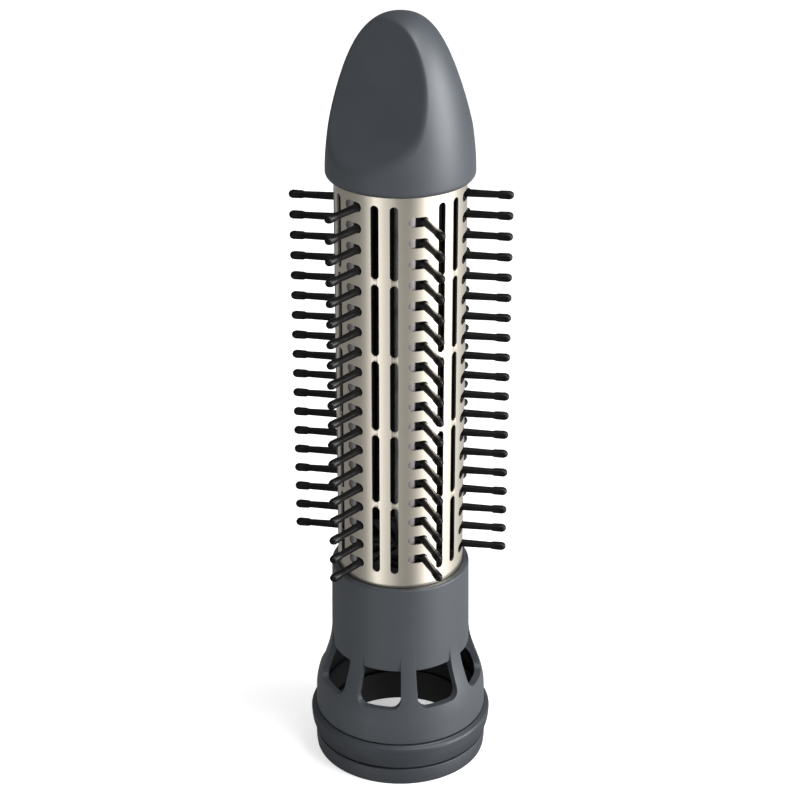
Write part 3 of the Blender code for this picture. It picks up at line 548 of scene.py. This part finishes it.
# Painted shade: the bore's inward faces get a near-black finish, and the lead-ins and the slots' cut walls a
# darker, duller copy of the metal, for the shade inside the tube and its slots.
champagne_metal = surface_finish(
    "champagne_metal", (0.80, 0.742, 0.635), 0.28, 1.0, 0.00030, 0.000005, tint=0.02, spread=0.02)
painted_shade_black = surface_finish("painted_shade_black", (0.007, 0.007, 0.008), 0.6, 0.0, 0.00040, 0.00002, gloss=0.15)
# A darker, duller copy of the champagne metal: painted shade on the lead-ins and the slots' cut walls.
painted_shade_metal = surface_finish(
    "painted_shade_metal", (0.22, 0.205, 0.205), 0.40, 1.0, 0.00030, 0.000005, tint=0.04, spread=0.03)
# Finish slots: the polished outside, the painted black shade, and the metal's painted shade.
outside, painted_black_index, pressed = 0, 1, 2
bore_margin = 0.00008
wall_margin = 0.00014
side_on = 0.3


def reach_and_facing(face):
    """A face's distance from the axis, and how far it looks outwards, from -1 to 1."""
    reach = max(math.hypot(face.center.x, face.center.y), 0.0001)
    return reach, (face.normal.x * face.center.x + face.normal.y * face.center.y) / reach


for piece in (barrel, lead_ins):
    for finish in (champagne_metal, painted_shade_black, painted_shade_metal):
        piece.data.materials.append(finish)
# The lead-ins' outer faces get the metal's painted shade, and their inner faces the painted black shade.
for face in lead_ins.data.polygons:
    reach, facing = reach_and_facing(face)
    face.material_index = pressed if facing > 0.0 else painted_black_index
join([barrel, lead_ins], "barrel_tube")
# The bore gets the painted black shade, and the slots' cut walls get the metal's painted shade.
for face in barrel.data.polygons:
    reach, facing = reach_and_facing(face)
    in_bore = reach < barrel_radius - barrel_wall + bore_margin and facing < 0.0
    in_slot = reach < barrel_radius - wall_margin and abs(facing) < side_on
    if face.material_index == outside and (in_bore or in_slot):
        face.material_index = painted_black_index if in_bore else pressed
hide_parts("barrel")
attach(barrel, "housing")


# Combs: one glossy black moulding for each row. A narrow spine inside the barrel carries slim bristles with
# a thicker rounded tip. Each comb slides in and out along its own radius, guided by a pin at each end.
bristle_root = 0.0137
bristle_stations = (            # (distance from the axis, radius)
    (0.0158, 0.00091), (0.0219, 0.00080), (0.0225, 0.00098), (0.0246, 0.00102),
    (0.0252, 0.00078), (0.0255, 0.00034),
)
spine_bottom, spine_top = 0.0557, 0.1471
spine_inner, spine_outer = 0.0123, 0.0141
spine_width = 0.0028
spine_taper = 0.61              # width of its inner side as a share of its outer side
spine_lip = 1.34                # how much further it reaches towards the slot's long end
pin_radius = 0.0006
pin_distance = 0.0130
pin_overlap = 0.001

root_distance, root_radius = bristle_stations[0]
bpy.ops.object.select_all(action="DESELECT")
bpy.ops.mesh.primitive_cylinder_add(
    vertices=10, radius=root_radius, depth=root_distance - bristle_root,
    location=(0.0, -(root_distance + bristle_root) / 2, 0.0), rotation=(math.radians(90), 0.0, 0.0),
)
bristle = settle_primitive("bristle")
select_where(bristle, "FACE", lambda face: face.normal.y < -0.9)
for (reach, thickness), (distance, radius) in zip(bristle_stations, bristle_stations[1:]):
    move = {"value": (0.0, reach - distance, 0.0)}
    bpy.ops.mesh.extrude_region_move(TRANSFORM_OT_translate=move)
    growth = radius / thickness
    bpy.ops.transform.resize(value=(growth, 1.0, growth), center_override=(0.0, -distance, 0.0))
bpy.ops.object.mode_set(mode="OBJECT")

spine_middle = (spine_bottom + spine_top) / 2
bpy.ops.object.select_all(action="DESELECT")
bpy.ops.mesh.primitive_cube_add(
    size=1.0, location=(0.0, -(spine_inner + spine_outer) / 2, spine_middle),
    scale=(spine_width, spine_outer - spine_inner, spine_top - spine_bottom),
)
spine = settle_primitive("spine")
for share, test in (
    (spine_taper, lambda face: face.normal.y > 0.9),
    (spine_lip, lambda face: face.normal.x < -0.9),
):
    select_where(spine, "FACE", test)
    bpy.ops.transform.resize(value=(share, 1.0, 1.0), center_override=(0.0, -spine_inner, spine_middle))
    bpy.ops.object.mode_set(mode="OBJECT")
bpy.ops.object.mode_set(mode="EDIT")
bpy.ops.mesh.select_all(action="SELECT")
bpy.ops.mesh.bevel(offset=0.00018, segments=2, affect="EDGES")
bpy.ops.object.mode_set(mode="OBJECT")
comb_low, comb_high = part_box("comb_1")
comb_parts = [spine]
for bottom, top in ((comb_low.z, spine_bottom + pin_overlap), (spine_top - pin_overlap, comb_high.z)):
    bpy.ops.object.select_all(action="DESELECT")
    bpy.ops.mesh.primitive_cylinder_add(
        vertices=16, radius=pin_radius, depth=top - bottom,
        location=(0.0, -pin_distance, (top + bottom) / 2),
    )
    pin = settle_primitive("pin")
    round_edges(pin, width=0.00012, segments=2, degrees=40)
    comb_parts.append(pin)
spine = join(comb_parts, "spine")

black_nylon = surface_finish(
    "black_nylon", (0.003, 0.003, 0.0035), 0.33, 0.0, 0.00040, 0.00001, tint=0.2, spread=0.05, gloss=0.2)
for row, azimuth in enumerate(row_azimuths):
    places = [turn_to(azimuth) @ Matrix.Translation((0.0, 0.0, height)) for height in bristle_heights(row)]
    bristles = place_copies(bristle, places, "bristles")
    row_spine = place_copies(spine, [turn_to(azimuth)], "row_spine")
    comb = join([row_spine, bristles], f"comb_row_{row + 1}")
    smooth(comb, 50)
    comb.data.materials.append(black_nylon)
    comb.visible_glossy = False     # or the metal beside it shows dark bars that the real one hasn't
    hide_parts(f"comb_{row + 1}")
    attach(comb, f"comb_{row + 1}")
bpy.data.objects.remove(bristle)
bpy.data.objects.remove(spine)


# Collar: a moulding of the same satin plastic as the cap. The neck holds the barrel, and eight ribs join it
# to the flared skirt, with an air window between each pair. Four screws reach the bearing spider through it.
neck_radius = 0.01675
neck_bore = 0.0153
neck_lip = 0.0151
shoulder_top = 0.0349
shoulder_bottom = 0.0160
shoulder_steps = 28
skirt_radius = 0.0208
skirt_wall = 0.0016
skirt_bottom = 0.0115
window_count = 8
window_first = -16.0
window_half_angle = 16.4
window_sill = 0.0208
window_top = 0.0370
window_corner = 0.0024
window_near, window_far = 0.012, 0.024
screw_first = -38.5
screw_distance = 0.0140
recess_radius = 0.0013
recess_depth = 0.0040
recess_middle = 0.0294


def shoulder(height):
    """Outer radius of the skirt, an eased curve that leaves the neck smoothly."""
    fall = (shoulder_top - height) / (shoulder_top - shoulder_bottom)
    fall = min(max(fall, 0.0), 1.0) ** 1.15
    return neck_radius + (skirt_radius - neck_radius) * (1.0 - math.cos(math.pi * fall)) / 2


shoulder_rise = shoulder_top - shoulder_bottom
heights = [shoulder_bottom + shoulder_rise * step / shoulder_steps for step in range(shoulder_steps + 1)]
outline = [(0.02070, skirt_bottom), (0.02085, skirt_bottom + 0.0002), (0.02084, 0.0135)]
outline += [(shoulder(height), height) for height in heights]
outline += [(0.0165, 0.0356), (0.0158, 0.0356), (0.0158, 0.0282)]
outline += [(shoulder(height) - skirt_wall, height) for height in reversed(heights) if height < 0.0275]
outline += [(0.01925, skirt_bottom)]
collar = turned("collar_moulding", outline, 192)

bpy.ops.object.select_all(action="DESELECT")
bpy.ops.mesh.primitive_cube_add(
    size=1.0, location=(0.0, -(window_near + window_far) / 2, (window_top + window_sill) / 2),
    scale=(
        2 * window_far * math.tan(math.radians(window_half_angle)), window_far - window_near,
        window_top - window_sill,
    ),
)
window = settle_primitive("window")
select_where(window, "FACE", lambda face: face.normal.y > 0.9)
bpy.ops.transform.resize(
    value=(window_near / window_far, 1.0, 1.0), center_override=(0.0, -window_near, window_sill))
bpy.ops.object.mode_set(mode="OBJECT")


def is_lower_corner(edge):
    start, end = edge_ends(window, edge)
    runs_out = abs(start.y - end.y) > (window_far - window_near) / 2
    return runs_out and max(start.z, end.z) < window_sill + 0.001


select_where(window, "EDGE", is_lower_corner)
bpy.ops.mesh.bevel(offset=window_corner, segments=8, affect="EDGES")
bpy.ops.object.mode_set(mode="OBJECT")
window_places = [turn_to(window_first + 360.0 / window_count * step) for step in range(window_count)]
cut(collar, place_copies(window, window_places, "windows"))
bpy.data.objects.remove(window)
round_edges(collar, width=0.00062, segments=4, degrees=50)

outline = [(0.0130, 0.0296), (0.0165, 0.0296), (neck_radius, 0.0298), (neck_radius, shoulder_top)]
outline += [(0.01670, 0.0400), (0.01660, 0.0470), (0.01655, 0.0508)]
outline += arc((0.01610, 0.0513), 0.00045, 0, 90, 4)
outline += [(0.0152, 0.05175), (neck_lip, 0.0516), (neck_lip, 0.0506), (neck_bore, 0.0504)]
outline += [(neck_bore, 0.0365), (0.0126, 0.0365), (0.0126, 0.0300)]
neck = turned("neck", outline, 192)
cut(collar, neck, "UNION")

screw_place = Matrix.Translation((0.0, -screw_distance, 0.0))
screw_places = [turn_to(screw_first + 90.0 * step) @ screw_place for step in range(4)]
bpy.ops.object.select_all(action="DESELECT")
bpy.ops.mesh.primitive_cylinder_add(
    vertices=24, radius=recess_radius, depth=recess_depth, location=(0.0, 0.0, recess_middle))
recess = settle_primitive("recess")
cut(collar, place_copies(recess, screw_places, "recesses"))
bpy.data.objects.remove(recess)
smooth(collar, 34)
even_normals(collar)


def dress_moulding(piece, finish, bore):
    """Give a moulding its finish, and the near-black painted shade on the faces that look inwards within a
    radius.
    """
    well_inwards = -0.4
    piece.data.materials.append(finish)
    piece.data.materials.append(painted_shade_black)
    for face in piece.data.polygons:
        reach, facing = reach_and_facing(face)
        if reach < bore and facing < well_inwards:
            face.material_index = painted_black_index


# The faces inside the skirt get the painted black shade.
dress_moulding(collar, satin_plastic, skirt_radius - skirt_wall + 0.0003)
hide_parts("collar")
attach(collar, "housing")


# Coupling ring: the bead and band under the skirt, snapped into the skirt by an inner sleeve. Its plastic is
# a darker copy of the satin plastic, which paints the shade that falls low on the brush.
sleeve_radius, sleeve_bore, sleeve_top = 0.0188, 0.0180, 0.0145
band_bottom = 0.00495
outline = [(sleeve_bore, band_bottom), (0.0209, band_bottom)]
outline += arc((0.0209, 0.00525), 0.0003, -90, -10, 4)
outline += [(0.02155, 0.0063), (0.02188, 0.0074), (0.02206, 0.0086)]
outline += arc((0.02110, 0.01005), 0.00105, -15, 78, 10)
outline += [(0.0211, 0.0113), (sleeve_radius, 0.0113)]
outline += [(sleeve_radius, sleeve_top), (sleeve_bore, sleeve_top)]
coupling = turned("coupling_band", outline, 192)
smooth(coupling, 34)
# A darker copy of the satin plastic, painting the shade that falls on the low rings.
satin_plastic_painted_shade = surface_finish("satin_plastic_painted_shade", (0.029, 0.034, 0.041), 0.45, 0.0, 0.00035, 0.00002)
dress_moulding(coupling, satin_plastic_painted_shade, 0.0192)
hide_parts("coupling_ring")
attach(coupling, "housing")


# Lock ring: the lowest ring, in the coupling ring's darker plastic, which paints shade. Its sleeve stands
# inside the coupling ring, and three lugs on it take the handle with a quarter turn.
lock_sleeve, lock_bore, lock_top = 0.0177, 0.0172, 0.0080
foot_radius, foot_edge = 0.02055, 0.0003
lug_size = (0.0044, 0.0016, 0.0018)
lug_place = (0.0, -0.0170, 0.0025)
outline = [(lock_bore, 0.0002), (0.0174, 0.0), (foot_radius, 0.0)]
outline += arc((foot_radius, foot_edge), foot_edge, -90, -10, 3)
outline += [(0.02092, 0.0008), (0.02100, 0.0014), (0.02104, 0.0026)]
outline += arc((0.02075, 0.00405), 0.0003, 0, 90, 4)
outline += [(lock_sleeve, 0.00435), (lock_sleeve, lock_top), (lock_bore, lock_top)]
lock = turned("lock_band", outline, 192)
bpy.ops.object.select_all(action="DESELECT")
bpy.ops.mesh.primitive_cube_add(size=1.0, location=lug_place, scale=lug_size)
lug = settle_primitive("lug")
round_edges(lug, width=0.0003, segments=3, degrees=40)
cut(lock, place_copies(lug, [turn_to(120.0 * step) for step in range(3)], "lugs"), "UNION")
bpy.data.objects.remove(lug)
smooth(lock, 34)
dress_moulding(lock, satin_plastic_painted_shade, 0.0181)
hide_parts("lock_ring")
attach(lock, "housing")


# Inner works: matt mouldings, turned steel, a sintered bronze bush and a silicone seal. They stand in the
# barrel, the cap and the neck, and show only through the slots and windows.
matt_plastic = surface_finish("matt_plastic", (0.030, 0.030, 0.032), 0.55, 0.0, 0.00030, 0.00003)
turned_steel = surface_finish("turned_steel", (0.56, 0.57, 0.58), 0.30, 1.0, 0.00015, 0.00001, tint=0.05)
bush_bronze = surface_finish("bush_bronze", (0.42, 0.27, 0.12), 0.42, 1.0, 0.00020, 0.00002, tint=0.1)
silicone = surface_finish("silicone", (0.02, 0.02, 0.02), 0.75, 0.0, 0.00030, 0.00001)
inner_works = {
    "bearing_spider": matt_plastic, "lower_guide_plate": matt_plastic, "upper_guide_plate": matt_plastic,
    "upper_scroll": matt_plastic, "lower_scroll": matt_plastic, "cap_hub": matt_plastic,
    "detent_spring": turned_steel, "hub_screw": turned_steel, "shaft": turned_steel,
    "thrust_washer": turned_steel, "retaining_clip": turned_steel, "lower_bush": bush_bronze,
    "barrel_seal": silicone,
}
for number in range(1, 5):
    inner_works[f"collar_screw_{number}"] = turned_steel
for node, finish in inner_works.items():
    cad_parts[node].data.materials.clear()
    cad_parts[node].data.materials.append(finish)
